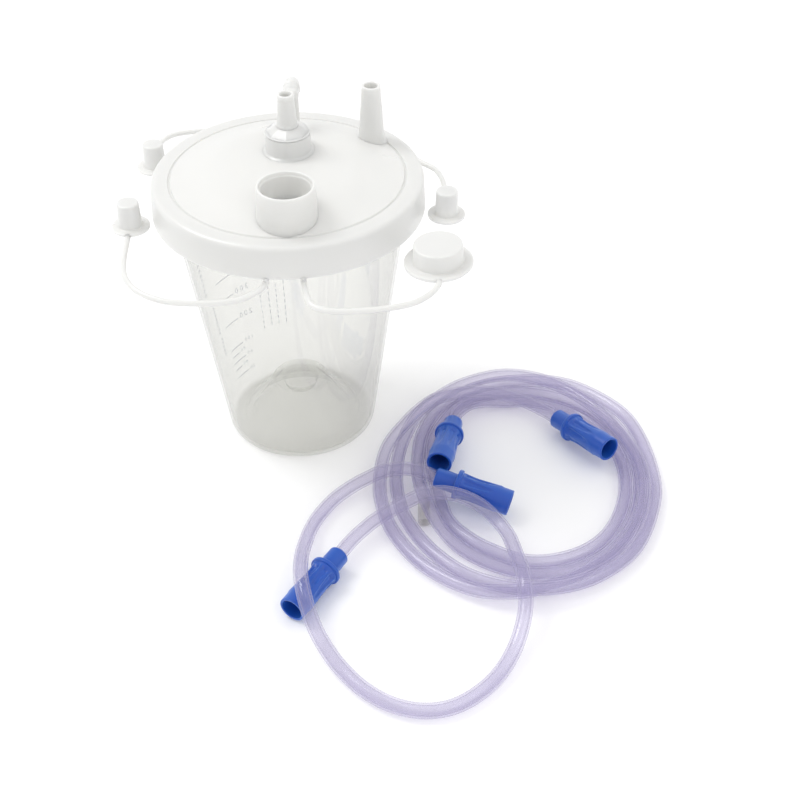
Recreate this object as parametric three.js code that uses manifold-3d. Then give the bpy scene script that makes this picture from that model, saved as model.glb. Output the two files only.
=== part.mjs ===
// Disposable suction canister kit: clear jar, white lid with ports, tethered caps,
// float shut-off valve, two lengths of suction tubing with connectors, and a tubing adapter.
// Millimetres, +Z up. The jar stands on Z = 0.
import * as THREE from "three";
import { mergeVertices } from "three/addons/utils/BufferGeometryUtils.js";
import Module from "manifold-3d";

const wasm = await Module();
wasm.setup();

// ---- driving dimensions ----
const facets = 40; // sides of the large round parts
const smallFacets = 16; // sides of the small round parts
const gap = 0.3; // between pieces that touch

const jarHeelRadius = 38.7;
const jarTaper = 0.1345; // growth of the wall radius per mm of height
const jarWall = 1.4;
const jarShoulder = 133; // height where the wall steps out to the rim
const jarRimRadius = 60.6;
const jarLipWidth = 1;
const coneFootRadius = 27.8; // the push-up in the jar's base
const coneTopRadius = 14.4;
const coneHeight = 23.5;
const footStep = 1.2; // the base is raised inside its standing ring

const lidTop = 145.6;
const lidDrop = 15.8; // depth of the skirt
const lidRadius = 64.2;
const skirtFlare = 0.8;
const skirtWall = 1.6;
const lidPlate = 1.8;
const rimWidth = 7.9;
const domeRise = 6.4;
const plugDrop = 5.6; // the ring that seats inside the jar's rim
const plugWall = 1.4;
const plugClearance = 0.4;

const hubY = 12;
const hubRadius = 10.8;
const hubWall = 1.5;
const hubHeight = 9; // above the dome
const spigotConeHeight = 3.4;
const spigotRootRadius = 4.9;
const spigotTipRadius = 3.85;
const spigotHeight = 19.6; // above the hub
const spigotBore = 2.4;

const spoutX = 2.7;
const spoutY = -40.7;
const spoutRadius = 13;
const spoutWall = 1.3;
const spoutHeight = 12.4; // above the dome

const taperX = 39;
const taperY = 32;
const taperRootRadius = 6.3;
const taperTipRadius = 4.5;
const taperBore = 3.05;
const taperHeight = 24.6; // above the dome

const elbowY = 36;
const elbowRadius = 3.9;
const elbowBore = 2.4;
const elbowHeight = 15.8; // of its bend above the dome
const elbowReach = 14;
const elbowBend = 5;

const seatThickness = 2.1;
const seatHole = 3;
const cageWall = 1.3;
const cageLength = 36;
const cageSlotWidth = 6;
const cageSlotLength = 22;
const floatClearance = 0.8;
const floatLength = 26;
const floatNoseRadius = 4.5;

const capLevel = lidTop - lidDrop - 0.9; // underside of the caps' flanges
const smallCap = { top: 5, foot: 5.5, flange: 8.9, flangeThickness: 1.5, height: 13.6, wall: 1.2 };
const pourCap = { top: 11.1, foot: 11.6, flange: 15.7, flangeThickness: 1.7, height: 10.3, wall: 1.4 };
const strapRadius = 1.35;

const tubeDiameter = 7;
const connectorLength = 40;
const sleeveStart = 0.9; // clear of the tube's end face
const sleeveRadius = 4.9;
const ringRadius = 7.6;
const mouthRadius = 6.4;
const waistRadius = 5.6;
const mouthBore = 5.1;
const adapterRadius = 3;
const adapterLength = 16;

// ---- solids ----
function solidOf(geometry) {
  const bare = geometry.index ? geometry.clone() : geometry;
  const plain = new THREE.BufferGeometry().setAttribute("position", bare.getAttribute("position"));
  if (bare.index) plain.setIndex(bare.index);
  const merged = mergeVertices(plain, 1e-4);
  return new wasm.Manifold(
    new wasm.Mesh({
      numProp: 3,
      vertProperties: merged.attributes.position.array,
      triVerts: new Uint32Array(merged.index.array),
    }),
  );
}

function geometryOf(solid) {
  const mesh = solid.getMesh();
  const geometry = new THREE.BufferGeometry();
  geometry.setAttribute("position", new THREE.BufferAttribute(mesh.vertProperties, 3));
  geometry.setIndex(new THREE.BufferAttribute(mesh.triVerts, 1));
  return geometry;
}

// A turned solid about +Z from [radius, height] pairs that close on themselves or end on the axis.
function turned(profile, sides = facets) {
  const points = profile.map(([radius, height]) => new THREE.Vector2(radius, height));
  if (profile[0][0] > 0) points.push(points[0].clone());
  const geometry = new THREE.LatheGeometry(points, sides);
  geometry.rotateX(Math.PI / 2);
  const solid = solidOf(geometry);
  return solid.volume() < 0 ? solidOf(flipped(geometry)) : solid;
}

function flipped(geometry) {
  const index = geometry.index.array;
  for (let i = 0; i < index.length; i += 3) {
    [index[i + 1], index[i + 2]] = [index[i + 2], index[i + 1]];
  }
  return geometry;
}

function block(width, depth, height) {
  return solidOf(new THREE.BoxGeometry(width, depth, height));
}

// A round tube along a smooth line through the points.
function along(points, radius, steps, sides) {
  const curve = new THREE.CatmullRomCurve3(
    points.map((point) => new THREE.Vector3(...point)),
    false,
    "catmullrom",
    0.5,
  );
  const outline = [];
  for (let side = 0; side < sides; side++) {
    const turn = (side / sides) * 2 * Math.PI;
    outline.push(new THREE.Vector2(radius * Math.cos(turn), radius * Math.sin(turn)));
  }
  const settings = { steps, extrudePath: curve, bevelEnabled: false };
  return solidOf(new THREE.ExtrudeGeometry(new THREE.Shape(outline), settings));
}

// ---- materials ----
const finish = {
  clear: [0xe9e8e4, 0.08],
  white: [0xf3f3f1, 0.38],
  grey: [0x9b9b98, 0.6],
  tubing: [0xd6d1e2, 0.2],
  blue: [0x3c6fc4, 0.35],
  milky: [0xe4e2de, 0.4],
};

const kit = new THREE.Group();

function add(name, shape, look, place = [0, 0, 0]) {
  const [color, roughness] = finish[look];
  const material = new THREE.MeshStandardMaterial({ color, roughness, metalness: 0 });
  const mesh = new THREE.Mesh(geometryOf(shape), material);
  mesh.name = name;
  mesh.position.set(...place);
  kit.add(mesh);
  return mesh;
}

// ---- jar ----
const jarTop = lidTop - lidPlate - gap;
const wallRadius = (height) => jarHeelRadius + jarTaper * height;

function jar() {
  const heelBevel = 2.6;
  const lipHeight = 2.2;
  const rimFoot = jarShoulder + 4;
  return turned([
    [coneFootRadius, footStep],
    [coneFootRadius + 2, footStep],
    [coneFootRadius + 3.4, 0],
    [jarHeelRadius - heelBevel, 0],
    [wallRadius(heelBevel * 0.4) - 0.4, heelBevel * 0.4],
    [wallRadius(heelBevel), heelBevel],
    [wallRadius(jarShoulder), jarShoulder],
    [jarRimRadius, rimFoot],
    [jarRimRadius, jarTop - lipHeight],
    [jarRimRadius + jarLipWidth, jarTop - lipHeight],
    [jarRimRadius + jarLipWidth, jarTop],
    [jarRimRadius - jarWall, jarTop],
    [jarRimRadius - jarWall, rimFoot + 0.6],
    [wallRadius(jarShoulder) - jarWall, jarShoulder + 0.6],
    [wallRadius(heelBevel) - jarWall, heelBevel + jarWall],
    [jarHeelRadius - heelBevel, jarWall + 0.4],
    [coneFootRadius + 2, footStep + jarWall],
    [coneTopRadius + 1.6, coneHeight - 1.6],
    [coneTopRadius, coneHeight],
    [0, coneHeight],
    [0, coneHeight - jarWall],
    [coneTopRadius - jarWall, coneHeight - jarWall],
  ]);
}

// ---- lid ----
const plugRadius = jarRimRadius - jarWall - plugClearance;
const domeFoot = lidRadius - rimWidth;
const dome = [
  [domeFoot, 0],
  [domeFoot - 0.8, -0.8],
  [domeFoot - 1.6, 0.1],
  [50, 1.2],
  [45, 2.7],
  [40, 4.3],
  [34, 5.6],
  [24, 6.2],
];
const domeTop = lidTop + domeRise;
const hubTop = domeTop + hubHeight;

// Height of the dome's surface at a distance from the middle.
function domeHeight(radius) {
  const steps = [...dome, [0, domeRise]];
  for (let i = 1; i < steps.length; i++) {
    const [outer, low] = steps[i - 1];
    const [inner, high] = steps[i];
    if (radius >= inner) return lidTop + low + ((outer - radius) / (outer - inner)) * (high - low);
  }
  return domeTop;
}

const boreFloor = lidTop - lidPlate - 3; // bores start below the plate

function port(x, y, profile, sides = smallFacets) {
  return turned(profile, sides).translate(x, y, 0);
}

function elbowLine(fromZ, extra) {
  const bendZ = lidTop + elbowHeight + 6;
  return [
    [0, elbowY, fromZ],
    [0, elbowY, bendZ - elbowBend],
    [0, elbowY + elbowBend * 0.3, bendZ - elbowBend * 0.3],
    [0, elbowY + elbowBend, bendZ],
    [0, elbowY + elbowReach + extra, bendZ],
  ];
}

function pipe(line, radius) {
  const at = line.map((point) => new THREE.Vector3(...point));
  let solid;
  for (let i = 1; i < at.length; i++) {
    const length = at[i].distanceTo(at[i - 1]);
    const run = new THREE.CylinderGeometry(radius, radius, length, smallFacets);
    const turn = new THREE.Quaternion().setFromUnitVectors(
      new THREE.Vector3(0, 1, 0),
      at[i].clone().sub(at[i - 1]).normalize(),
    );
    run.applyQuaternion(turn);
    const middle = at[i].clone().add(at[i - 1]).multiplyScalar(0.5);
    run.translate(middle.x, middle.y, middle.z);
    let piece = solidOf(run);
    if (i < at.length - 1) {
      const knuckle = new THREE.SphereGeometry(radius, smallFacets, 8);
      knuckle.translate(at[i].x, at[i].y, at[i].z);
      piece = piece.add(solidOf(knuckle));
    }
    solid = solid ? solid.add(piece) : piece;
  }
  return solid;
}

function lid() {
  const rounding = 2.4;
  const inside = lidRadius - skirtWall;
  const underPlate = lidTop - lidPlate;
  const skirtFoot = lidTop - lidDrop;
  const shell = turned([
    [0, domeTop],
    ...dome.toReversed().map(([radius, height]) => [radius, lidTop + height]),
    [lidRadius - rounding, lidTop],
    [lidRadius - rounding * 0.3, lidTop - rounding * 0.3],
    [lidRadius, lidTop - rounding],
    [lidRadius + skirtFlare, skirtFoot],
    [lidRadius + skirtFlare - skirtWall, skirtFoot],
    [inside, underPlate],
    [plugRadius, underPlate],
    [plugRadius - 0.4, underPlate - plugDrop],
    [plugRadius - plugWall, underPlate - plugDrop],
    [plugRadius - plugWall, underPlate - 1],
    [domeFoot - 1.6, underPlate - 0.8],
    ...dome.slice(3).map(([radius, height]) => [radius, lidTop + height - lidPlate]),
    [0, domeTop - lidPlate],
  ]);
  const hub = port(0, hubY, [
    [0, domeTop - 6],
    [hubRadius, domeTop - 6],
    [hubRadius, hubTop],
    [0, hubTop],
  ], 24);
  const spoutFoot = domeHeight(spoutRadius + Math.hypot(spoutX, spoutY));
  const spoutTop = domeTop + spoutHeight - 1;
  const spout = port(spoutX, spoutY, [
    [0, spoutFoot - 2],
    [spoutRadius + 0.6, spoutFoot - 2],
    [spoutRadius + 0.8, spoutFoot + 6],
    [spoutRadius, spoutTop],
    [0, spoutTop],
  ], 24);
  const taperFoot = domeHeight(Math.hypot(taperX, taperY) + taperRootRadius);
  const taper = port(taperX, taperY, [
    [0, taperFoot - 1.5],
    [taperRootRadius, taperFoot - 1.5],
    [taperTipRadius, lidTop + taperHeight + 5],
    [0, lidTop + taperHeight + 5],
  ]);
  const elbow = pipe(elbowLine(domeHeight(elbowY + elbowRadius) - 1.5, 0), elbowRadius);
  const bores = [
    port(0, hubY, [
      [0, boreFloor],
      [hubRadius - hubWall, boreFloor],
      [hubRadius - hubWall, hubTop + 1],
      [0, hubTop + 1],
    ], 24),
    port(spoutX, spoutY, [
      [0, boreFloor],
      [spoutRadius - spoutWall, boreFloor],
      [spoutRadius - spoutWall, spoutTop + 1],
      [0, spoutTop + 1],
    ], 24),
    port(taperX, taperY, [
      [0, boreFloor],
      [taperBore + 0.6, boreFloor],
      [taperBore, lidTop + taperHeight + 6],
      [0, lidTop + taperHeight + 6],
    ]),
    pipe(elbowLine(boreFloor, 1), elbowBore),
  ];
  let solid = shell.add(hub).add(spout).add(taper).add(elbow);
  for (const bore of bores) solid = solid.subtract(bore);
  return solid;
}

// ---- float valve ----
const valveRadius = hubRadius - hubWall - gap;
const seatTop = hubTop - 4.2;
const cageTop = seatTop - seatThickness - gap;

function vacuumSpigot() {
  const base = hubTop + gap;
  const tip = hubTop + spigotHeight;
  return turned([
    [hubRadius, base],
    [hubRadius, base + 0.8],
    [spigotRootRadius, base + spigotConeHeight],
    [spigotTipRadius, tip],
    [spigotBore, tip],
    [spigotBore, base + 3],
    [valveRadius - 1.3, base],
    [valveRadius - 1.3, seatTop + gap],
    [valveRadius, seatTop + gap],
    [valveRadius, base],
  ], 24);
}

function valveSeat() {
  return turned([
    [seatHole, seatTop - seatThickness],
    [valveRadius, seatTop - seatThickness],
    [valveRadius, seatTop],
    [seatHole, seatTop],
  ], 24);
}

const cageFloor = cageTop - cageLength;

function floatCage() {
  let cage = turned([
    [seatHole, cageFloor],
    [valveRadius, cageFloor],
    [valveRadius, cageTop],
    [valveRadius - cageWall, cageTop],
    [valveRadius - cageWall, cageFloor + cageWall],
    [seatHole, cageFloor + cageWall],
  ], 24);
  const slot = block(4 * valveRadius, cageSlotWidth, cageSlotLength);
  for (const turn of [0, 90]) {
    cage = cage.subtract(slot.rotate([0, 0, turn]).translate(0, 0, cageFloor + cageSlotLength / 2 + 4));
  }
  return cage;
}

const floatFoot = cageFloor + cageWall + gap;

function floatBody() {
  const radius = valveRadius - cageWall - floatClearance;
  return turned([
    [0, floatFoot],
    [radius, floatFoot],
    [radius, floatFoot + floatLength - 7],
    [floatNoseRadius, floatFoot + floatLength],
    [0, floatFoot + floatLength],
  ]);
}

// ---- caps on their straps ----
function cap(size) {
  const { top, foot, flange, flangeThickness, height, wall } = size;
  return turned([
    [foot - wall, 0],
    [flange, 0],
    [flange, flangeThickness],
    [foot, flangeThickness],
    [top, height - 1],
    [top - 1, height],
    [0, height],
    [0, height - wall],
    [top - wall, height - wall],
  ], 20);
}

// Each strap leaves the skirt's foot at the lid's front or back and swings round to its cap.
// Its points are x, y and height above the caps' level, and it stops short of the cap's flange.
const straps = {
  front_left: {
    size: smallCap,
    cap: [-72.6, -20.2],
    line: [
      [-6.3, -63.9, -1.1], [-8, -67.2, -2.2], [-15.5, -73.5, -3], [-25, -76.6, -3], [-38, -77.8, -2.6],
      [-50, -76.6, -2.2], [-61, -71, -1.6], [-68.6, -61, -1.2], [-71.6, -48, -0.8], [-72.6, -30.4, 0.2],
    ],
  },
  front_right: {
    size: pourCap,
    cap: [70.2, -50.2],
    line: [
      [10.4, -63.4, -1.1], [11.4, -69, -2.2], [14.8, -78.6, -3], [23.5, -82.8, -3], [36, -83.2, -2.6],
      [49, -81.8, -2], [59.5, -78.6, -1.4], [66.6, -72.6, -0.8], [69.8, -67.4, 0.2],
    ],
  },
  rear_left: {
    size: smallCap,
    cap: [-69.4, 35.4],
    line: [
      [-6.3, 63.9, -1.1], [-8, 67.2, -2.2], [-15.5, 74, -3], [-26, 77.8, -3], [-40, 79.4, -2.6],
      [-54.5, 77.2, -2.2], [-65.6, 72.4, -1.6], [-70.6, 63.5, -1], [-71.6, 54.5, -0.6],
      [-70.2, 45.6, 0.2],
    ],
  },
  rear_right: {
    size: smallCap,
    cap: [74.8, -9.6],
    line: [
      [10.4, 63.4, -1.1], [11.4, 67.2, -2.2], [19, 73.6, -3], [30, 74.4, -3], [42, 69, -2.6],
      [53.5, 56, -2.2], [63.6, 43.4, -1.6], [71, 34.5, -1.2], [74.4, 20, -0.6], [74.8, 0.6, 0.2],
    ],
  },
};

// ---- tubing ----
// Routes of the tubes' centre lines from one connector's sleeve to the other's.
const longRoute = [
  [135.3, -15.6, 8.1], [129.9, -8.5, 6.8], [119, -2.6, 8.8], [104, -1.2, 13], [88, -3.5, 15.5],
  [74, -9.8, 17], [65.5, -15.8, 16], [56.3, -25, 12.7], [46.5, -39, 8.4], [42.8, -56, 4.6],
  [43.6, -75, 3.6], [49.8, -96, 3.6], [64.5, -117.5, 3.6], [85.5, -133, 5], [106, -138, 8.4],
  [121, -135.8, 10.6], [136, -129.5, 10.8], [156, -113, 10.8], [170, -88.5, 10.8], [174.5, -60.5, 10.8],
  [169, -35, 10.8], [155.5, -9, 10.8], [135.5, 10, 10.8], [111.5, 17, 10.8], [88, 9.5, 10.8],
  [71, -5, 10.9], [61.5, -15, 7.9], [55, -28, 4.2], [51.6, -45, 3.6], [51.3, -65.5, 3.6],
  [55.3, -85, 3.6], [66.5, -106, 3.6], [83.5, -122.7, 3.6], [105, -131, 3.6], [128, -130.5, 3.6],
  [148, -122, 3.6], [166.8, -104, 3.6], [179.2, -74.5, 3.6], [181.6, -52, 3.6], [178, -22.5, 3.6],
  [169.5, -3, 3.6], [148, 16, 3.6], [125, 21, 3.6], [99, 16.5, 3.6], [76.5, 0.8, 3.6], [65.2, -21.7, 3.6],
  [62, -44, 3.9], [62, -58, 6.2], [62.8, -68, 9.2], [64.4, -77, 10.9], [67, -86, 10.9],
  [71.2, -94.5, 8.8], [77.5, -102.2, 5.4], [85.3, -109.3, 3.8], [98.4, -117.6, 3.6], [114.5, -122.4, 3.6],
  [135, -119.8, 3.6], [156, -105.3, 3.6], [170.4, -78.8, 3.6], [174.5, -47.6, 3.6], [167.2, -20.5, 3.6],
  [150, 0.2, 3.6], [126.6, 10.4, 3.6], [104, 9.6, 3.6], [86.4, 1.6, 3.6], [75.4, -15, 3.6],
  [70.2, -29, 3.6], [69.2, -48, 3.6], [71.4, -64, 3.6], [73.4, -76.5, 3.6], [76.6, -88, 3.6],
  [83.4, -97.2, 3.6], [94.4, -106.4, 3.6], [113, -114.8, 3.6], [133.5, -112, 3.6], [151, -100, 3.6],
  [163.4, -77, 3.6], [167.2, -50.7, 3.6], [162, -27, 3.6], [147.5, -7.3, 3.6], [126, 2.8, 3.6],
  [110, 2, 4.3], [98.5, -0.6, 6.6], [89.6, -5.4, 8.5], [83, -13.3, 8.8], [81.2, -21, 9.8],
];
const shortRoute = [
  [69.6, -68.4, 15], [62.1, -65.8, 16.4], [53.5, -63.6, 15.6], [45, -62.6, 13.2], [36.5, -63.6, 9.2],
  [28, -67.5, 6.4], [19, -75.5, 4.5], [11, -90, 4.2], [7.5, -108, 7.5], [7.2, -125, 14.6],
  [8.4, -140, 18.6], [11.6, -153, 16], [16, -162, 9.5], [22, -171.5, 6], [29, -180.3, 4.2],
  [37.5, -189, 3.6], [49, -196.6, 3.6], [62.2, -200, 3.6], [75, -198, 3.6], [87, -190.5, 3.6],
  [97, -179.5, 4.2], [104.6, -166, 7.4], [108.8, -152, 13.4], [108.8, -138, 18], [107, -120, 13.6],
  [103, -101.4, 11], [92, -88.5, 14.4], [79, -84.4, 18.3], [66, -84.8, 19], [53, -87.5, 13.8],
  [41.5, -92.4, 9.2], [35.4, -98.2, 8.2], [29.5, -105.9, 8], [24.8, -113.6, 7.8],
];

// Connectors as sleeve end and a point that their open mouth is aimed at.
const connectors = {
  long_tube_connector_outer: { sleeve: [135.3, -15.6, 8.1], aim: [159.3, -47.1, 13.8] },
  long_tube_connector_inner: { sleeve: [81.2, -21, 9.8], aim: [72.4, -59.4, 15.4] },
  short_tube_connector_rear: { sleeve: [69.6, -68.4, 15], aim: [107.1, -81.3, 9] },
  short_tube_connector_front: { sleeve: [24.8, -113.6, 7.8], aim: [3.9, -147.7, 7.1] },
};

function connector() {
  const ringAt = 11.5;
  const ringWidth = 2.2;
  return turned([
    [0, sleeveStart],
    [sleeveRadius - 0.9, sleeveStart],
    [sleeveRadius, sleeveStart + 1],
    [sleeveRadius + 0.1, ringAt],
    [ringRadius, ringAt],
    [ringRadius, ringAt + ringWidth],
    [waistRadius, ringAt + ringWidth],
    [waistRadius, connectorLength * 0.6],
    [mouthRadius - 0.1, connectorLength * 0.78],
    [mouthRadius, connectorLength],
    [mouthBore, connectorLength],
    [mouthBore - 0.5, connectorLength * 0.5],
    [0, connectorLength * 0.5],
  ], smallFacets);
}

function adapter() {
  const bore = 2.3;
  return turned([
    [bore, 0],
    [adapterRadius - 0.6, 0],
    [adapterRadius, 1.4],
    [adapterRadius, adapterLength - 1.4],
    [adapterRadius - 0.6, adapterLength],
    [bore, adapterLength],
  ], 12);
}

// Turns a mesh so that its +Z looks from one point to another, and sets it on the first.
function aimed(mesh, from, to) {
  const direction = new THREE.Vector3(...to).sub(new THREE.Vector3(...from)).normalize();
  mesh.quaternion.setFromUnitVectors(new THREE.Vector3(0, 0, 1), direction);
  mesh.position.set(...from);
}

// ---- assembly ----
add("canister_jar", jar(), "clear");
add("lid", lid(), "white");
add("vacuum_spigot", vacuumSpigot(), "white", [0, hubY, 0]);
add("valve_seat", valveSeat(), "grey", [0, hubY, 0]);
add("float_cage", floatCage(), "white", [0, hubY, 0]);
add("shutoff_float", floatBody(), "white", [0, hubY, 0]);

for (const [side, strap] of Object.entries(straps)) {
  const [x, y] = strap.cap;
  const capName = strap.size === pourCap ? "pour_spout_cap" : `${side}_cap`;
  const line = strap.line.map(([px, py, height]) => [px, py, capLevel + height + 0.2]);
  add(`${side}_strap`, along(line, strapRadius, 26, 8), "white");
  add(capName, cap(strap.size), "white", [x, y, capLevel]);
}

add("long_tube", along(longRoute, tubeDiameter / 2, 82, 8), "tubing");
add("short_tube", along(shortRoute, tubeDiameter / 2, 24, 8), "tubing");
for (const [name, { sleeve, aim }] of Object.entries(connectors)) {
  aimed(add(name, connector(), "blue"), sleeve, aim);
}
const adapterHeight = adapterRadius + 0.1;
aimed(add("tubing_adapter", adapter(), "milky"), [64.7, -88.6, adapterHeight], [65, -70.6, adapterHeight]);

// The origin is under the middle of the canister with its lid and caps.
const outline = new THREE.Box3();
kit.updateMatrixWorld(true);
for (const mesh of kit.children) {
  if (!/tube|adapter/.test(mesh.name)) outline.expandByObject(mesh, true);
}
const middle = outline.getCenter(new THREE.Vector3());
kit.position.set(-middle.x, -middle.y, 0);

export default kit;
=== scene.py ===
import bpy
import bmesh
import math
from mathutils import Matrix, Vector


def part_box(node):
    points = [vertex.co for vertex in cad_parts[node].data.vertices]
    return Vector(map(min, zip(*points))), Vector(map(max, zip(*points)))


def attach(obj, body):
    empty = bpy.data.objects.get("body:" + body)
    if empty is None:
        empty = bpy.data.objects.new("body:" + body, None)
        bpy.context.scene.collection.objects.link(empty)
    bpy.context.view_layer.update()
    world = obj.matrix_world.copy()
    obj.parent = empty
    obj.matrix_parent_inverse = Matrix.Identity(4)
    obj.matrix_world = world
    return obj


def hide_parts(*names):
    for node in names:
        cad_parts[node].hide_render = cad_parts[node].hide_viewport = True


# Suction canister kit: clear jar, white ported lid with tethered caps, and suction tubing.
# Piece sizes are in millimetres about the jar's axis, and Blender's are in metres.

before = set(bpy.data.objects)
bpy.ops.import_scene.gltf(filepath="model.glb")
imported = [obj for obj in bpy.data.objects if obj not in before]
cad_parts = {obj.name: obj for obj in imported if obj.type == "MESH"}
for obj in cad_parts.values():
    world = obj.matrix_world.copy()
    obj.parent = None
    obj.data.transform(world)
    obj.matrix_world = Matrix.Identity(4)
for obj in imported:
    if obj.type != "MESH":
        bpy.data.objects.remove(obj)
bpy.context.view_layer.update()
low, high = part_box("canister_jar")
jarAxis = Vector(((low[0] + high[0]) / 2, (low[1] + high[1]) / 2, 0))


def place(point):  # a point in mm about the jar's axis, in the frame's metres
    return jarAxis + Vector(point) / 1000


# ---- camera ----
camera = {"at": (52.85, -523.86, 444.76), "down": 39.88, "lens": 56.8}
bpy.ops.object.camera_add(location=place(camera["at"]), rotation=(math.radians(90 - camera["down"]), 0, 0))
lens = bpy.context.object
lens.data.lens = camera["lens"]
lens.data.sensor_width = 36
lens.data.clip_end = 20
bpy.context.scene.camera = lens


# ---- materials ----
def toLinear(code):  # sRGB hex, as a colour picker shows it
    values = [int(code[i:i + 2], 16) / 255 for i in (1, 3, 5)]
    return tuple(v / 12.92 if v <= 0.04045 else ((v + 0.055) / 1.055) ** 2.4 for v in values) + (1,)


def addNode(tree, kind, settings=None, links=None):
    node = tree.nodes.new(kind)
    for key, value in (settings or {}).items():
        if hasattr(node, str(key)):
            setattr(node, key, value)
        else:
            node.inputs[key].default_value = value
    for key, source in (links or {}).items():
        tree.links.new(source, node.inputs[key])
    return node


def newMaterial(name):
    material = bpy.data.materials.new(name)
    material.use_nodes = True
    tree = material.node_tree
    tree.nodes.clear()
    return material, tree


def finishMaterial(tree, shader):
    addNode(tree, "ShaderNodeOutputMaterial", links={"Surface": shader.outputs[0]})


def grainBump(tree, sizeMm, strength, depthMm):
    coords = addNode(tree, "ShaderNodeTexCoord")
    grain = addNode(tree, "ShaderNodeTexNoise", {"Scale": 1000 / sizeMm, "Detail": 3.0},
                    {"Vector": coords.outputs["Object"]})
    bump = addNode(tree, "ShaderNodeBump", {"Strength": strength, "Distance": depthMm / 1000},
                   {"Height": grain.outputs[0]})
    return bump


def mouldedPolyethylene():  # injection-moulded LDPE: satin, waxy, lets a little light in, with a faint painted glow that brightens it
    material, tree = newMaterial("moulded white polyethylene")
    bump = grainBump(tree, 9, 0.12, 0.25)  # broad flow ripple, drawn coarser than the mould's real texture
    coords = addNode(tree, "ShaderNodeTexCoord")
    cloud = addNode(tree, "ShaderNodeTexNoise", {"Scale": 40.0, "Detail": 2.0},
                    {"Vector": coords.outputs["Object"]})
    gloss = addNode(tree, "ShaderNodeMapRange", {"To Min": 0.24, "To Max": 0.36}, {"Value": cloud.outputs[0]})
    shader = addNode(tree, "ShaderNodeBsdfPrincipled", {
        "Base Color": toLinear("#DADAD8"), "IOR": 1.51, "Subsurface Weight": 0.6, "Subsurface Scale": 0.004,
        "Subsurface Radius": (1, 0.97, 0.92), "Coat Weight": 0.15, "Coat Roughness": 0.2,
        # painted glow: the plastic emits a faint warm white light of its own, to brighten it
        "Emission Color": toLinear("#FFFEFA"), "Emission Strength": 0.02,
    }, {"Normal": bump.outputs[0], "Roughness": gloss.outputs[0]})
    finishMaterial(tree, shader)
    return material


def seeThrough(name, look):  # clear plastic: clear face on, tinted edge on, with gloss over both
    material, tree = newMaterial(name)
    edge = addNode(tree, "ShaderNodeLayerWeight", {"Blend": look["blend"]})
    sharper = addNode(tree, "ShaderNodeMath", {"operation": "POWER", 1: look["sharpness"]},
                      {0: edge.outputs["Facing"]})
    share = addNode(tree, "ShaderNodeMapRange", {"To Min": look["faceOn"], "To Max": look["edgeOn"]},
                    {"Value": sharper.outputs[0]})
    clear = addNode(tree, "ShaderNodeBsdfTransparent", {"Color": toLinear(look["through"])})
    bump = grainBump(tree, look["rippleMm"], look["ripple"], 0.1)
    milk = addNode(tree, "ShaderNodeBsdfDiffuse", {"Color": toLinear(look["tint"])})
    glow = addNode(tree, "ShaderNodeBsdfTranslucent", {"Color": toLinear(look["tint"])})
    haze = addNode(tree, "ShaderNodeMixShader", {0: 0.5}, {1: milk.outputs[0], 2: glow.outputs[0]})
    wall = addNode(tree, "ShaderNodeMixShader",
                   links={0: share.outputs[0], 1: clear.outputs[0], 2: haze.outputs[0]})
    grazing = addNode(tree, "ShaderNodeLayerWeight", {"Blend": 0.5}, {"Normal": bump.outputs[0]})
    steep = addNode(tree, "ShaderNodeMath", {"operation": "POWER", 1: 4.0}, {0: grazing.outputs["Facing"]})
    mirror = addNode(tree, "ShaderNodeMapRange", {"To Min": 0.06, "To Max": look["shine"]},
                     {"Value": steep.outputs[0]})
    side = addNode(tree, "ShaderNodeNewGeometry")
    outside = addNode(tree, "ShaderNodeMath", {"operation": "SUBTRACT", 0: 1.0},
                      {1: side.outputs["Backfacing"]})
    shine = addNode(tree, "ShaderNodeMath", {"operation": "MULTIPLY"},
                    {0: mirror.outputs[0], 1: outside.outputs[0]})
    gloss = addNode(tree, "ShaderNodeBsdfGlossy", {"Roughness": look["roughness"]},
                    {"Normal": bump.outputs[0]})
    shader = addNode(tree, "ShaderNodeMixShader",
                     links={0: shine.outputs[0], 1: wall.outputs[0], 2: gloss.outputs[0]})
    finishMaterial(tree, shader)
    return material


def mouldedBlue():  # soft moulded PVC: smooth, semi-gloss, with a painted sheen that makes it lighter blue where it is seen edge-on
    material, tree = newMaterial("moulded blue vinyl")
    # painted sheen: the base colour runs from deep blue face on to lighter blue edge-on
    edge = addNode(tree, "ShaderNodeLayerWeight", {"Blend": 0.35})
    colour = addNode(tree, "ShaderNodeMix", {"data_type": "RGBA"}, {"Factor": edge.outputs["Facing"]})
    colour.inputs[6].default_value = toLinear("#104AAE")
    colour.inputs[7].default_value = toLinear("#3F76CC")
    bump = grainBump(tree, 5, 0.1, 0.15)
    shader = addNode(tree, "ShaderNodeBsdfPrincipled", {
        "Roughness": 0.3, "IOR": 1.53, "Subsurface Weight": 0.15, "Subsurface Scale": 0.001,
    }, {"Base Color": colour.outputs[2], "Normal": bump.outputs[0]})
    finishMaterial(tree, shader)
    return material


def sealRubber():  # moulded silicone seal: matt and even
    material, tree = newMaterial("grey silicone")
    bump = grainBump(tree, 1, 0.2, 0.05)
    shader = addNode(tree, "ShaderNodeBsdfPrincipled", {"Base Color": toLinear("#9B9B98"), "Roughness": 0.65},
                     {"Normal": bump.outputs[0]})
    finishMaterial(tree, shader)
    return material


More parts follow.
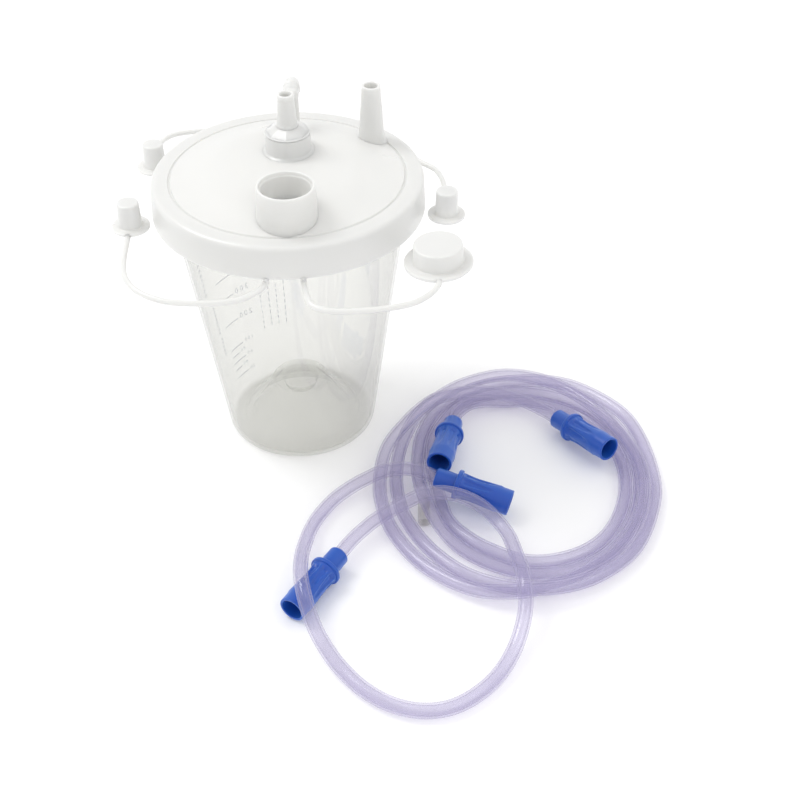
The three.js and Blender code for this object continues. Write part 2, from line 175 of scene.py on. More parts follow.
def screenInk():  # pad-printed blue-grey ink: thin, so the wall shows through it
    material, tree = newMaterial("printed ink")
    clear = addNode(tree, "ShaderNodeBsdfTransparent", {"Color": toLinear("#FFFFFF")})
    coords = addNode(tree, "ShaderNodeTexCoord")
    speckle = addNode(tree, "ShaderNodeTexNoise", {"Scale": 1200.0}, {"Vector": coords.outputs["Object"]})
    cover = addNode(tree, "ShaderNodeMapRange", {"To Min": 0.3, "To Max": 0.8}, {"Value": speckle.outputs[0]})
    ink = addNode(tree, "ShaderNodeBsdfPrincipled", {"Base Color": toLinear("#858BB0"), "Roughness": 0.5})
    shader = addNode(tree, "ShaderNodeMixShader",
                     links={0: cover.outputs[0], 1: clear.outputs[0], 2: ink.outputs[0]})
    finishMaterial(tree, shader)
    return material


polyethylene = mouldedPolyethylene()
polystyrene = seeThrough("clear moulded polystyrene", {  # glass-clear, with a faint warm cast in its edges
    "tint": "#F0F0EE", "through": "#FAFAF9", "faceOn": 0.045, "edgeOn": 0.4, "blend": 0.5, "sharpness": 2.6,
    "roughness": 0.03, "shine": 0.7, "ripple": 0.05, "rippleMm": 20,
})
vinylTubing = seeThrough("clear extruded vinyl", {  # lavender-tinted PVC: hazy, deeper edge on
    "tint": "#D3CFE4", "through": "#F8F7FB", "faceOn": 0.07, "edgeOn": 0.66, "blend": 0.45, "sharpness": 2.4,
    "roughness": 0.14, "shine": 0.5, "ripple": 0.1, "rippleMm": 3,
})
milkyPolypropylene = seeThrough("milky moulded polypropylene", {  # cloudy natural PP
    "tint": "#ECEBE8", "through": "#F8F8F6", "faceOn": 0.4, "edgeOn": 0.8, "blend": 0.4, "sharpness": 1.5,
    "roughness": 0.3, "shine": 0.4, "ripple": 0.1, "rippleMm": 4,
})
blueVinyl = mouldedBlue()
silicone = sealRubber()
ink = screenInk()
print("materials made")


# ---- modelling helpers ----
def deselectAll():
    bpy.ops.object.select_all(action="DESELECT")


def selectOnly(piece):
    deselectAll()
    piece.select_set(True)
    bpy.context.view_layer.objects.active = piece


def finishPiece(piece, name, material, body, smooth=35):
    selectOnly(piece)
    piece.name = name
    bpy.ops.object.transform_apply(location=True, rotation=True, scale=True)
    piece.data.materials.clear()
    piece.data.materials.append(material)
    bpy.ops.object.shade_smooth_by_angle(angle=math.radians(smooth))
    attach(piece, body)
    return piece


def rounded(corners, arcSteps=4):  # a profile of (radius, height, fillet) corners, with each fillet as an arc
    outline = []
    count = len(corners)
    for i, (r, z, fillet) in enumerate(corners):
        here = Vector((r, z))
        if fillet == 0 or i in (0, count - 1):
            outline.append(here)
            continue
        before = Vector(corners[i - 1][:2]) - here
        after = Vector(corners[i + 1][:2]) - here
        half = before.angle(after) / 2
        reach = min(fillet / math.tan(half), before.length * 0.49, after.length * 0.49)
        start = here + before.normalized() * reach
        end = here + after.normalized() * reach
        for step in range(arcSteps + 1):
            t = step / arcSteps
            outline.append(start * (1 - t) ** 2 + here * 2 * t * (1 - t) + end * t ** 2)
    return outline


def turn(corners, sides=64, closed=True, centre=(0, 0)):  # a turned shape, ring by ring, as a spun profile
    outline = rounded(corners)
    deselectAll()
    x, y = centre[0] / 1000, centre[1] / 1000
    first = outline[0]
    bpy.ops.mesh.primitive_circle_add(vertices=sides, radius=first.x / 1000, location=(x, y, first.y / 1000))
    piece = bpy.context.object
    bpy.ops.object.transform_apply(location=True, rotation=True, scale=True)
    bpy.ops.object.mode_set(mode="EDIT")
    bpy.ops.mesh.select_all(action="SELECT")
    last = first
    for point in outline[1:]:
        rise = (point.y - last.y) / 1000
        size = point.x / last.x
        bpy.ops.mesh.extrude_edges_move(TRANSFORM_OT_translate={"value": (0, 0, rise)})
        bpy.ops.transform.resize(value=(size, size, 1), center_override=(x, y, point.y / 1000))
        last = point
    bpy.ops.mesh.select_all(action="SELECT")
    if closed:
        bpy.ops.mesh.remove_doubles(threshold=0.000005)
    else:
        bpy.ops.mesh.fill_holes(sides=0)
        bpy.ops.mesh.select_all(action="SELECT")
    bpy.ops.mesh.normals_make_consistent(inside=False)
    bpy.ops.object.mode_set(mode="OBJECT")
    return piece


def drill(piece, radius, centre, bottom, top, sides=64):  # cuts a round hole down through a piece
    deselectAll()
    bpy.ops.mesh.primitive_cylinder_add(vertices=sides, radius=radius / 1000, depth=(top - bottom) / 1000,
                                        location=(centre[0] / 1000, centre[1] / 1000, (top + bottom) / 2000))
    cutter = bpy.context.object
    selectOnly(piece)
    cut = piece.modifiers.new("hole", "BOOLEAN")
    cut.object = cutter
    cut.operation = "DIFFERENCE"
    cut.solver = "EXACT"
    bpy.ops.object.modifier_apply(modifier=cut.name)
    bpy.data.objects.remove(cutter, do_unlink=True)


def moveHome(piece):  # from the jar's axis at the origin to its place in the frame
    piece.location = jarAxis
    return piece


def smoothLine(points, perSpan):  # an even curve through the points, in metres
    ends = [2 * Vector(points[0]) - Vector(points[1]), 2 * Vector(points[-1]) - Vector(points[-2])]
    knots = [ends[0]] + [Vector(p) for p in points] + [ends[1]]
    line = []
    for i in range(1, len(knots) - 2):
        p0, p1, p2, p3 = knots[i - 1:i + 3]
        for step in range(perSpan):
            t = step / perSpan
            spot = p1 * 2 + (p2 - p0) * t + (p0 * 2 - p1 * 5 + p2 * 4 - p3) * t ** 2
            spot += (p1 * 3 - p0 - p2 * 3 + p3) * t ** 3
            line.append(place(spot / 2))
    line.append(place(points[-1]))
    return line


def sweep(line, radius, sides=6, caps=False):  # a round rod along a line
    deselectAll()
    data = bpy.data.curves.new("sweep", "CURVE")
    data.dimensions = "3D"
    data.bevel_depth = radius / 1000
    data.bevel_resolution = sides
    data.use_fill_caps = caps
    spline = data.splines.new("POLY")
    spline.points.add(len(line) - 1)
    for knot, spot in zip(spline.points, line):
        knot.co = (*spot, 1)
    piece = bpy.data.objects.new("sweep", data)
    bpy.context.collection.objects.link(piece)
    selectOnly(piece)
    bpy.ops.object.convert(target="MESH")
    return bpy.context.object


# ---- tubing ----
tubing = {"diameter": 7, "wall": 1}
longRoute = [
    (135.3, -15.6, 8.1), (129.9, -8.5, 6.8), (119, -2.6, 8.8), (104, -1.2, 13), (88, -3.5, 15.5),
    (74, -9.8, 17), (65.5, -15.8, 16), (56.3, -25, 12.7), (46.5, -39, 8.4), (42.8, -56, 4.6),
    (43.6, -75, 3.6), (49.8, -96, 3.6), (64.5, -117.5, 3.6), (85.5, -133, 5), (106, -138, 8.4),
    (121, -135.8, 10.6), (136, -129.5, 10.8), (156, -113, 10.8), (170, -88.5, 10.8), (174.5, -60.5, 10.8),
    (169, -35, 10.8), (155.5, -9, 10.8), (135.5, 10, 10.8), (111.5, 17, 10.8), (88, 9.5, 10.8),
    (71, -5, 10.9), (61.5, -15, 7.9), (55, -28, 4.2), (51.6, -45, 3.6), (51.3, -65.5, 3.6),
    (55.3, -85, 3.6), (66.5, -106, 3.6), (83.5, -122.7, 3.6), (105, -131, 3.6), (128, -130.5, 3.6),
    (148, -122, 3.6), (166.8, -104, 3.6), (179.2, -74.5, 3.6), (181.6, -52, 3.6), (178, -22.5, 3.6),
    (169.5, -3, 3.6), (148, 16, 3.6), (125, 21, 3.6), (99, 16.5, 3.6), (76.5, 0.8, 3.6), (65.2, -21.7, 3.6),
    (62, -44, 3.9), (62, -58, 6.2), (62.8, -68, 9.2), (64.4, -77, 10.9), (67, -86, 10.9),
    (71.2, -94.5, 8.8), (77.5, -102.2, 5.4), (85.3, -109.3, 3.8), (98.4, -117.6, 3.6), (114.5, -122.4, 3.6),
    (135, -119.8, 3.6), (156, -105.3, 3.6), (170.4, -78.8, 3.6), (174.5, -47.6, 3.6), (167.2, -20.5, 3.6),
    (150, 0.2, 3.6), (126.6, 10.4, 3.6), (104, 9.6, 3.6), (86.4, 1.6, 3.6), (75.4, -15, 3.6),
    (70.2, -29, 3.6), (69.2, -48, 3.6), (71.4, -64, 3.6), (73.4, -76.5, 3.6), (76.6, -88, 3.6),
    (83.4, -97.2, 3.6), (94.4, -106.4, 3.6), (113, -114.8, 3.6), (133.5, -112, 3.6), (151, -100, 3.6),
    (163.4, -77, 3.6), (167.2, -50.7, 3.6), (162, -27, 3.6), (147.5, -7.3, 3.6), (126, 2.8, 3.6),
    (110, 2, 4.3), (98.5, -0.6, 6.6), (89.6, -5.4, 8.5), (83, -13.3, 8.8), (81.2, -21, 9.8),
]
shortRoute = [
    (69.6, -68.4, 15), (62.1, -65.8, 16.4), (53.5, -63.6, 15.6), (45, -62.6, 13.2), (36.5, -63.6, 9.2),
    (28, -67.5, 6.4), (19, -75.5, 4.5), (11, -90, 4.2), (7.5, -108, 7.5), (7.2, -125, 14.6),
    (8.4, -140, 18.6), (11.6, -153, 16), (16, -162, 9.5), (22, -171.5, 6), (29, -180.3, 4.2),
    (37.5, -189, 3.6), (49, -196.6, 3.6), (62.2, -200, 3.6), (75, -198, 3.6), (87, -190.5, 3.6),
    (97, -179.5, 4.2), (104.6, -166, 7.4), (108.8, -152, 13.4), (108.8, -138, 18), (107, -120, 13.6),
    (103, -101.4, 11), (92, -88.5, 14.4), (79, -84.4, 18.3), (66, -84.8, 19), (53, -87.5, 13.8),
    (41.5, -92.4, 9.2), (35.4, -98.2, 8.2), (29.5, -105.9, 8), (24.8, -113.6, 7.8),
]


def makeTube(name, route, body, perSpan):
    line = smoothLine(route, perSpan)
    tube = sweep(line, tubing["diameter"] / 2, sides=5)
    wall = tube.modifiers.new("wall", "SOLIDIFY")
    wall.thickness = tubing["wall"] / 1000
    wall.offset = -1
    bpy.ops.object.modifier_apply(modifier=wall.name)
    finishPiece(tube, name, vinylTubing, body, smooth=60)
    length = sum((b - a).length for a, b in zip(line, line[1:]))
    return tube, line, length


longTube, longLine, longLength = makeTube("long_suction_tube", longRoute, "long_tubing", 8)
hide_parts("long_tube")
shortTube, shortLine, shortLength = makeTube("short_suction_tube", shortRoute, "short_tubing", 10)
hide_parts("short_tube")
print("tubes", round(longLength, 3), round(shortLength, 3))

# ---- tubing connectors ----
connector = {"length": 40, "sleeve": 4.95, "ring": 7.6, "ringAt": 11.5, "ringWidth": 2.2, "waist": 6.05,
             "mouth": 6.4, "bore": 5.2, "flutes": 8, "fluteStart": 14.6, "fluteEnd": 30, "fluteDepth": 0.8}
connectorPlaces = {
    "long_tube_connector_outer": ((135.3, -15.6, 8.1), (159.3, -47.1, 13.8), "long_tubing"),
    "long_tube_connector_inner": ((81.2, -21, 9.8), (72.4, -59.4, 15.4), "long_tubing"),
    "short_tube_connector_rear": ((69.6, -68.4, 15), (107.1, -81.3, 9), "short_tubing"),
    "short_tube_connector_front": ((24.8, -113.6, 7.8), (3.9, -147.7, 7.1), "short_tubing"),
}


def pressFlutes(piece):  # long hollows between ribs, deepest near the ring and tapering out before the mouth
    bpy.ops.object.mode_set(mode="EDIT")
    mesh = bmesh.from_edit_mesh(piece.data)
    spread = math.pi / connector["flutes"]
    for share in (0.8, 0.6, 0.4):
        for vertex in mesh.verts:
            x, y, z = (c * 1000 for c in vertex.co)
            along = (z - connector["fluteStart"]) / (connector["fluteEnd"] - connector["fluteStart"])
            angle = math.atan2(y, x) % (2 * spread) - spread
            width = share * spread * (1 - 0.75 * max(along, 0) ** 1.5)
            outside = math.hypot(x, y) > connector["bore"] + 0.3
            vertex.select = outside and 0 <= along <= share + 0.2 and abs(angle) < width
        mesh.select_flush(False)
        bmesh.update_edit_mesh(piece.data)
        depth = connector["fluteDepth"] ** (1 / 3)
        bpy.ops.transform.resize(value=(depth, depth, 1), center_override=(0, 0, 0))
    bpy.ops.object.mode_set(mode="OBJECT")


def connectorShape():
    c = connector
    ringTop = c["ringAt"] + c["ringWidth"]
    corners = [(0.3, 0.9, 0), (c["sleeve"], 0.9, 1), (c["sleeve"] + 0.1, c["ringAt"], 0.4),
               (c["ring"], c["ringAt"], 0.8), (c["ring"], ringTop, 0.8), (c["waist"] + 0.5, ringTop, 0.4)]
    corners += [(c["waist"] + 0.5 - 0.45 * math.sin(math.pi * t / 10), ringTop + 0.8 + t * 1.5, 0)
                for t in range(6)]
    corners += [(c["waist"] + 0.05 + 0.6 * t / 8, ringTop + 8.3 + t * 1.4, 0) for t in range(1, 9)]
    corners += [(c["mouth"], 35, 0), (c["mouth"], c["length"], 0.5), (c["bore"], c["length"], 0.4),
                (c["bore"] - 0.1, 34, 0), (c["bore"] - 0.9, 20, 0), (2.4, 19, 0), (2.3, 4, 0), (0.3, 4, 0)]
    return turn(corners, sides=96)


for name, (sleeve, aim, body) in connectorPlaces.items():
    piece = connectorShape()
    pressFlutes(piece)
    way = (Vector(aim) - Vector(sleeve)).normalized()
    piece.matrix_world = Matrix.Translation(place(sleeve)) @ way.to_track_quat("Z", "Y").to_matrix().to_4x4()
    finishPiece(piece, name + "_moulding", blueVinyl, body, smooth=50)
    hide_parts(name)
    connectorPlaces[name] = piece

print("connectors made")

# ---- tubing adapter ----
adapter = {"radius": 3, "bore": 2.3, "length": 16, "from": (64.7, -88.6, 3.1), "to": (65, -70.6, 3.1)}
a = adapter
fitting = turn([(a["bore"], 0, 0), (a["radius"], 0, 1.4), (a["radius"], a["length"] / 2 - 1, 0.2),
                (a["radius"] + 0.02, a["length"] / 2, 0.2),
                (a["radius"], a["length"], 1), (a["bore"], a["length"], 0.2),
                (a["bore"] - 0.2, a["length"] / 2, 0), (a["bore"], 0, 0)], sides=48)
way = (Vector(a["to"]) - Vector(a["from"])).normalized()
fitting.matrix_world = Matrix.Translation(place(a["from"])) @ way.to_track_quat("Z", "Y").to_matrix().to_4x4()
finishPiece(fitting, "adapter_moulding", milkyPolypropylene, "adapter", smooth=50)
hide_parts("tubing_adapter")

# ---- jar ----
jar = {"heel": 38.7, "taper": 0.1345, "wall": 1.4, "shoulder": 133, "rim": 60.6, "top": 143.5,
       "coneFoot": 27.8, "coneTop": 14.4, "coneHeight": 23.5, "foot": 1.2}


def jarWallAt(height):
    return jar["heel"] + jar["taper"] * height


def makeJar():
    j = jar
    w = j["wall"]
    corners = [
        (0.3, j["coneHeight"] - w - 3.4, 0), (7.6, j["coneHeight"] - w - 3.4, 0.8),
        (8.6, j["coneHeight"] - w, 0.5),
        (j["coneTop"] - w, j["coneHeight"] - w, 1.2),
        (j["coneFoot"] - 0.5, j["foot"], 1), (j["coneFoot"] + 2, j["foot"], 0.5),
        (j["coneFoot"] + 3.4, 0, 0.6), (j["heel"], 0, 3.4),
        (jarWallAt(j["shoulder"]), j["shoulder"], 1.5), (j["rim"], j["shoulder"] + 4, 1),
        (j["rim"], j["top"] - 2.2, 0.3), (j["rim"] + 1, j["top"] - 2.2, 0.4), (j["rim"] + 1, j["top"], 0.6),
        (j["rim"] - w, j["top"], 0.6), (j["rim"] - w, j["shoulder"] + 4.6, 1),
        (jarWallAt(j["shoulder"]) - w, j["shoulder"] + 0.6, 1.5), (j["heel"] - w + 0.5, w + 0.2, 3),
        (j["coneFoot"] + 2.9, j["foot"] + w, 0.3), (j["coneFoot"] + 2.6, j["foot"] + w + 0.8, 0.3),
        (j["coneFoot"] + 1.6, j["foot"] + w + 0.9, 0.4), (j["coneTop"] + 0.5, j["coneHeight"] - 0.9, 0.4),
        (j["coneTop"] + 0.3, j["coneHeight"] + 0.5, 0.5), (j["coneTop"] - 0.8, j["coneHeight"] + 0.6, 0.5),
        (j["coneTop"] - 1.4, j["coneHeight"], 0.3),
        (9.4, j["coneHeight"], 0.6), (8.4, j["coneHeight"] - 3.4, 0.6), (0.3, j["coneHeight"] - 3.4, 0),
    ]
    piece = moveHome(turn(corners, sides=160, closed=False))
    finishPiece(piece, "jar_moulding", polystyrene, "jar", smooth=40)
    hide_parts("canister_jar")


makeJar()

# Printed scale: each line is its height, the angle that it ends at and its number.
scale = {"start": 155, "thick": 0.6, "taper": math.atan(jar["taper"]), "lines": [
    (8.2, 141, "20"), (13.2, 147, "40"), (17.6, 141, "60"), (21.8, 147, "80"), (26.1, 141, "100"),
    (41.3, 141, "200"), (56.4, 141, "300"), (68, 141, "400"), (82, 141, "500"), (96, 141, "600"),
    (110, 141, "700")]}
finePrint = [  # columns of small print, drawn as plain bars: angle, lowest and highest point, width, bar, gap
    (120.8, 28, 51, 0.4, 1.7, 1.5), (114.7, 28.7, 56, 0.4, 2.3, 1.4), (109.2, 29, 54.5, 0.4, 1.9, 1.3),
    (103.6, 29, 54.4, 0.45, 2.6, 1.3), (168.5, 68, 90, 2.4, 1.6, 1.4), (163.4, 42, 64, 1.8, 1.2, 1),
    (162.6, 28, 40, 1.6, 1.4, 1), (174, 30, 92, 0.6, 2.2, 0.8), (177.5, 30, 92, 0.6, 1.6, 0.9),
    (181, 30, 92, 0.6, 2.4, 0.7), (184.5, 30, 92, 0.6, 1.8, 0.9)]
marks = []


def wallFrame(angle, height):  # a place on the wall's outside: across it, up its slope and outward
    turned = Matrix.Rotation(math.radians(angle), 4, "Z") @ Matrix.Rotation(scale["taper"], 4, "Y")
    base = Matrix(((0, 0, 1, 0), (1, 0, 0, 0), (0, 1, 0, 0), (0, 0, 0, 1)))
    reach = jarWallAt(height) + 0.12
    spot = (reach * math.cos(math.radians(angle)), reach * math.sin(math.radians(angle)), height)
    return Matrix.Translation(place(spot)) @ turned @ base


def addBar(angle, height, across, tall):
    deselectAll()
    bpy.ops.mesh.primitive_plane_add(size=1)
    bar = bpy.context.object
    bar.matrix_world = wallFrame(angle, height) @ Matrix.Diagonal((across / 1000, tall / 1000, 1, 1))
    marks.append(bar)


def addDigit(character, angle, height, tall):
    deselectAll()
    bpy.ops.object.text_add()
    digit = bpy.context.object
    digit.data.body = character
    digit.data.size = tall / 1000
    digit.data.resolution_u = 2
    digit.data.align_x = "CENTER"
    digit.data.align_y = "CENTER"
    bpy.ops.object.convert(target="MESH")
    digit = bpy.context.object
    digit.matrix_world = wallFrame(angle, height)
    marks.append(digit)


for height, end, number in scale["lines"]:
    big = height > 40
    step = (scale["start"] - end) / 4
    for part in range(4):
        addBar(scale["start"] - (part + 0.5) * step, height, math.radians(step) * jarWallAt(height),
               scale["thick"])
    spread = 4.2 if big else 2.9
    for i, character in enumerate(number):
        addDigit(character, end - 3 - (len(number) - 1 - i) * spread, height + 0.6, 4.4 if big else 3)
for angle, bottom, top, width, bar, space in finePrint:
    height = bottom + bar / 2
    while height < top:
        addBar(angle, height, width, bar)
        height += bar + space
deselectAll()
for piece in marks:
    piece.select_set(True)
bpy.context.view_layer.objects.active = marks[0]
bpy.ops.object.join()
finishPiece(bpy.context.object, "printed_scale", ink, "jar")
print("jar made")

# ---- lid ----
lid = {"top": 145.6, "drop": 15.8, "radius": 64.2, "flare": 0.8, "skirt": 1.6, "plate": 1.8, "rim": 7.9,
       "rise": 6.4,
       "plug": 58.8, "plugDrop": 5.6}
hub = {"at": (0, 12), "radius": 10.8, "wall": 1.5, "top": 161}
spout = {"at": (2.7, -40.7), "radius": 13, "bore": 11.2, "top": 163.4, "foot": 149}
taper = {"at": (39, 32), "root": 6.3, "tip": 4.5, "bore": 3.05, "top": 175.2, "foot": 145}
elbow = {"at": (0, 36), "radius": 3.9, "bore": 2.4, "bend": 167.4, "reach": 14}


def lidPiece(piece, name, smooth=40):
    finishPiece(moveHome(piece), name, polyethylene, "lid", smooth)
    return piece


def makeShell():
    t = lid["top"]
    dome = [(56.3, 0), (56.0, -0.7), (55.2, -0.7), (54.8, 0.15), (50, 1.2), (45, 2.7), (40, 4.3),
            (37, 5.1), (34, 5.6),
            (29, 6.0), (24, 6.2), (12, 6.35), (0.3, 6.4)]
    foot = t - lid["drop"]
    inner = lid["radius"] + lid["flare"] - lid["skirt"]
    under = t - lid["plate"]
    corners = [(0.3, t + lid["rise"] - lid["plate"], 0)]
    corners += [(r, t + h - lid["plate"], 0) for r, h in reversed(dome[5:-1])]
    corners += [(lid["plug"] - 1.4, under - 0.6, 0.3), (lid["plug"] - 1.4, under - lid["plugDrop"], 0.3),
                (lid["plug"] - 0.3, under - lid["plugDrop"], 0.5), (lid["plug"], under, 0.2),
                (lid["radius"] - lid["skirt"], under, 0.6), (inner, foot, 0.4),
                (inner + lid["skirt"], foot, 0.6),
                (lid["radius"], t, 2.6)]
    corners += [(r, t + h, 0.4 if h < 0 else 0) for r, h in dome]
    piece = turn(corners, sides=160, closed=False)
    drill(piece, spout["bore"], spout["at"], 138, 160)
    drill(piece, hub["radius"] - hub["wall"], hub["at"], 138, 158)
    drill(piece, taper["bore"] + 0.5, taper["at"], 138, 156)
    drill(piece, elbow["bore"], elbow["at"], 138, 160)
    return lidPiece(piece, "lid_shell", smooth=30)


def makeHub():
    h = hub
    inner = h["radius"] - h["wall"]
    corners = [(inner, 147, 0), (h["radius"] + 2.4, 147, 0), (h["radius"] + 1.6, 151.9, 0.8),
               (h["radius"], 152.8, 1),
               (h["radius"], h["top"], 0.5), (inner, h["top"], 0.4), (inner, 147, 0)]
    return lidPiece(turn(corners, sides=96, centre=h["at"]), "hub")


def makeSpout():
    s = spout
    corners = [(s["bore"], s["foot"] - 3.6, 0), (s["radius"] + 1.2, s["foot"] - 3.6, 0),
               (s["radius"] + 0.7, s["foot"] + 0.6, 1.5), (s["radius"] + 0.7, s["foot"] + 7, 2),
               (s["radius"] + 0.2, s["top"] - 2, 3), (s["radius"], s["top"], 0.6),
               (s["radius"] - 1.1, s["top"], 0.6), (s["radius"] - 1.25, s["top"] - 1.6, 0.4),
               (s["bore"], s["top"] - 2.1, 0.5), (s["bore"], s["foot"] - 3.6, 0)]
    return lidPiece(turn(corners, sides=96, centre=s["at"]), "pour_spout")


def makeTaper():
    p = taper
    corners = [(p["bore"] + 0.5, p["foot"], 0), (p["root"] + 1.4, p["foot"], 0),
               (p["root"] + 0.1, p["foot"] + 3, 2),
               (p["tip"] + 0.15, p["top"] - 1.6, 0.4), (p["tip"] + 0.1, p["top"], 0.5),
               (p["bore"] + 0.2, p["top"], 0.5), (p["bore"], p["top"] - 3, 0.5),
               (p["bore"] + 0.5, p["foot"], 0)]
    return lidPiece(turn(corners, sides=64, centre=p["at"]), "patient_port")


def makeElbow():
    e = elbow
    r = e["radius"]
    upright = [(0.3, 148, 0), (r + 1.2, 148, 0), (r + 0.1, 151.6, 1), (r, e["bend"] - 1, 0),
               (r + 0.25, e["bend"] + 0.2, 0.3), (r + 0.2, e["bend"] + 1.4, 1),
               (r - 0.6, e["bend"] + 3.4, 1.6), (0.3, e["bend"] + 4.3, 0)]
    lidPiece(turn(upright, sides=64, closed=False, centre=e["at"]), "tandem_port_post", 60)
    arm = [(e["bore"], 1, 0), (r, 1, 0.2), (r, e["reach"] - 7, 0.5), (r + 0.45, e["reach"] - 6, 0.5),
           (r - 0.2, e["reach"], 0.6), (e["bore"], e["reach"], 0.3), (e["bore"], 1, 0)]
    piece = turn(arm, sides=64)
    x, y = e["at"]
    lain = Matrix.Rotation(math.radians(-90), 4, "X")
    piece.matrix_world = Matrix.Translation(place((x, y, e["bend"]))) @ lain
    finishPiece(piece, "tandem_port_arm", polyethylene, "lid", 50)
    return piece


shell = makeShell()
for piece in (shell, makeHub(), makeSpout(), makeTaper(), makeElbow(), bpy.data.objects["tandem_port_post"]):
    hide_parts("lid")
print("lid made")

# ---- vacuum spigot and float valve ----
spigot = {"base": 161.3, "flange": 10.8, "cone": 3.2, "root": 5.1, "tip": 3.85, "bore": 2.4, "top": 180.6,
          "flats": 8}


def makeSpigot():
    s = spigot
    cone = turn([(8, s["base"], 0), (s["flange"] - 0.1, s["base"], 0),
                 (s["flange"] - 0.2, s["base"] + 0.5, 0.2),
                 (s["root"] + 0.6, s["base"] + s["cone"], 0.4),
                 (s["root"] - 1.4, s["base"] + s["cone"] + 0.2, 0)],
                sides=s["flats"], closed=False, centre=hub["at"])
    ring = turn([(8, s["base"] - 4, 0), (hub["radius"] - hub["wall"] - 0.3, s["base"] - 4, 0.3),
                 (hub["radius"] - hub["wall"] - 0.3, s["base"], 0.1), (s["flange"], s["base"], 0.2),
                 (s["flange"], s["base"] + 0.6, 0.3), (8, s["base"] + 0.9, 0), (8, s["base"] - 4, 0)],
                sides=96, centre=hub["at"])
    stub = turn([(s["bore"], s["base"] + 2, 0), (s["root"], s["base"] + 2, 0),
                 (s["root"], s["base"] + s["cone"] + 1, 0.4),
                 (s["root"] - 0.35, s["base"] + s["cone"] + 1.8, 0.5), (s["tip"] + 0.15, s["top"] - 2.4, 0.3),
                 (s["tip"] + 0.3, s["top"] - 1.7, 0.3), (s["tip"] + 0.2, s["top"], 0.5),
                 (s["bore"] + 0.3, s["top"], 0.4), (s["bore"], s["top"] - 1.2, 0.4),
                 (s["bore"], s["base"] + 2, 0)], sides=64, centre=hub["at"])
    names = ("spigot_cone", "spigot_ring", "spigot_stub")
    for piece, name, smooth in zip((cone, ring, stub), names, (20, 40, 45)):
        lidPiece(piece, name, smooth)
        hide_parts("vacuum_spigot")


makeSpigot()

for node, material in (("valve_seat", silicone), ("float_cage", polyethylene),
                       ("shutoff_float", polyethylene)):
    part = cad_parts[node]
    part.data.materials.clear()
    part.data.materials.append(material)
print("valve made")

# ---- caps and straps ----
capLevel = lid["top"] - lid["drop"] - 0.9
smallCap = {"top": 5, "foot": 5.5, "flange": 8.9, "thick": 1.5, "height": 13.6, "wall": 1.2, "lean": 0}
pourCap = {"top": 11.1, "foot": 11.6, "flange": 15.7, "thick": 1.7, "height": 10.3, "wall": 1.4, "lean": 3}
strap = {"radius": 1.35, "root": 2.6}
caps = {
    "front_left": {"size": smallCap, "at": (-72.6, -20.2), "node": "front_left_cap", "line": [
        (-6.3, -63.9, -1.1), (-8, -67.2, -2.2), (-15.5, -73.5, -3), (-25, -76.6, -3),
        (-38, -77.8, -2.6), (-50, -76.6, -2.2), (-61, -71, -1.6), (-68.6, -61, -1.2),
        (-71.6, -48, -0.8), (-72.6, -30.4, 0.2)]},
    "front_right": {"size": pourCap, "at": (70.2, -50.2), "node": "pour_spout_cap", "line": [
        (10.4, -63.4, -1.1), (11.4, -69, -2.2), (14.8, -78.6, -3), (23.5, -82.8, -3),
        (36, -83.2, -2.6), (49, -81.8, -2), (59.5, -78.6, -1.4), (66.6, -72.6, -0.8),
        (69.8, -67.4, 0.2)]},
    "rear_left": {"size": smallCap, "at": (-69.4, 35.4), "node": "rear_left_cap", "line": [
        (-6.3, 63.9, -1.1), (-8, 67.2, -2.2), (-15.5, 74, -3), (-26, 77.8, -3),
        (-40, 79.4, -2.6), (-54.5, 77.2, -2.2), (-65.6, 72.4, -1.6), (-70.6, 63.5, -1),
        (-71.6, 54.5, -0.6), (-70.2, 45.6, 0.2)]},
    "rear_right": {"size": smallCap, "at": (74.8, -9.6), "node": "rear_right_cap", "line": [
        (10.4, 63.4, -1.1), (11.4, 67.2, -2.2), (19, 73.6, -3), (30, 74.4, -3),
        (42, 69, -2.6), (53.5, 56, -2.2), (63.6, 43.4, -1.6), (71, 34.5, -1.2),
        (74.4, 20, -0.6), (74.8, 0.6, 0.2)]},
}


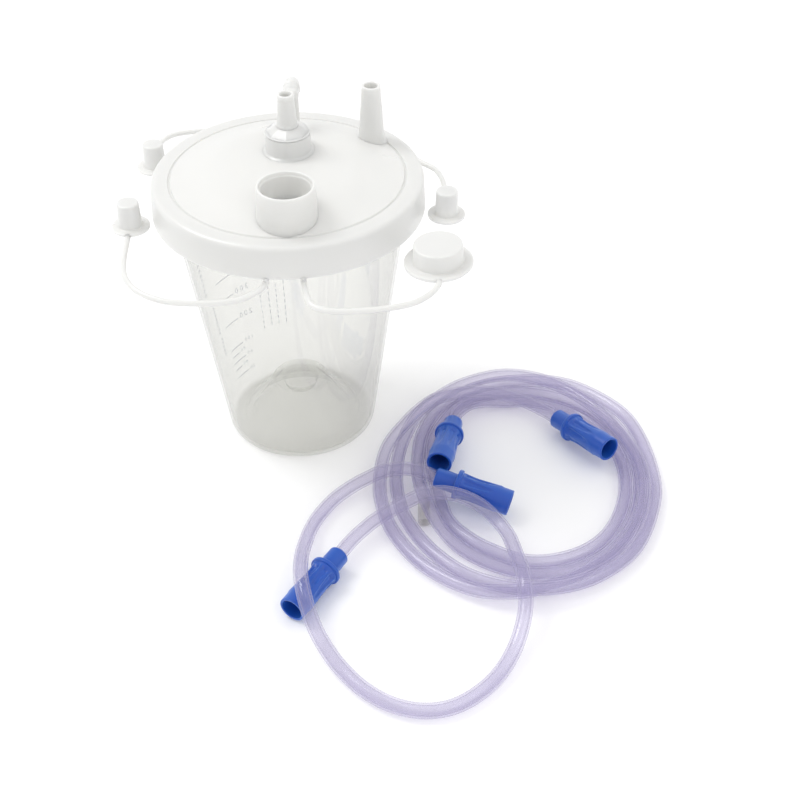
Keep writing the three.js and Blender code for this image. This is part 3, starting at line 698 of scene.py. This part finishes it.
def makeCap(side, about):
    s = about["size"]
    inner = s["foot"] - s["wall"]
    corners = [(0.3, s["height"] - s["wall"], 0), (s["top"] - s["wall"], s["height"] - s["wall"], 0.4),
               (inner, 0, 0.3), (s["flange"], 0, 0.5),
               (s["flange"], s["thick"], 0.6), (s["foot"], s["thick"], 0.8),
               (s["top"], s["height"], 0.9), (0.3, s["height"], 0)]
    piece = turn(corners, sides=80, closed=False)
    x, y = about["at"]
    lean = Matrix.Rotation(math.radians(-s["lean"]), 4, "Y")
    piece.matrix_world = Matrix.Translation(place((x, y, capLevel))) @ lean
    finishPiece(piece, about["node"] + "_moulding", polyethylene, side, smooth=40)
    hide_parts(about["node"])


def makeStrap(side, about):
    x, y, start = about["line"][0]
    knots = [(x, y * 0.998, start + strap["root"])] + about["line"]
    lastX, lastY, lastZ = knots[-1]
    capX, capY = about["at"]
    knots.append((lastX + (capX - lastX) * 0.12, lastY + (capY - lastY) * 0.12, lastZ + 0.3))
    line = smoothLine([(px, py, capLevel + 0.2 + pz) for px, py, pz in knots], 8)
    piece = sweep(line, strap["radius"], sides=4, caps=True)
    finishPiece(piece, side + "_strap_moulding", polyethylene, side, smooth=60)
    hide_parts(side + "_strap")


for side, about in caps.items():
    makeCap(side, about)
    makeStrap(side, about)
print("caps and straps made")

# ---- floor and light ----
studio = {"floor": "#FEFEFE", "sky": 0.93, "key": 6.2, "fill": 1.8}
deselectAll()
bpy.ops.mesh.primitive_plane_add(size=8, location=(0, 0, -0.0002))
floor = bpy.context.object
floor.name = "floor"
floorMaterial, floorTree = newMaterial("matt white paper")
finishMaterial(floorTree, addNode(floorTree, "ShaderNodeBsdfPrincipled", {
    "Base Color": toLinear(studio["floor"]), "Roughness": 0.9, "Specular IOR Level": 0.1}))
floor.data.materials.append(floorMaterial)

world = bpy.data.worlds.new("studio")
bpy.context.scene.world = world
world.use_nodes = True
world.node_tree.nodes["Background"].inputs["Color"].default_value = (1, 1, 1, 1)
world.node_tree.nodes["Background"].inputs["Strength"].default_value = studio["sky"]
for name, at, aim, size, power in (
        ("key", (-0.7, 0.25, 1.25), (0, 0, 0.1), 0.55, studio["key"]),
        ("fill", (0.9, -0.6, 1.1), (0.05, -0.05, 0.05), 0.9, studio["fill"])):
    turnTo = (Vector(aim) - Vector(at)).to_track_quat("-Z", "Y").to_euler()
    bpy.ops.object.light_add(type="AREA", location=at, rotation=turnTo)
    lamp = bpy.context.object
    lamp.name = name
    lamp.data.size = size
    lamp.data.energy = power

scene = bpy.context.scene
scene.view_settings.view_transform = "Standard"
scene.cycles.transparent_max_bounces = 64
scene.cycles.max_bounces = 12
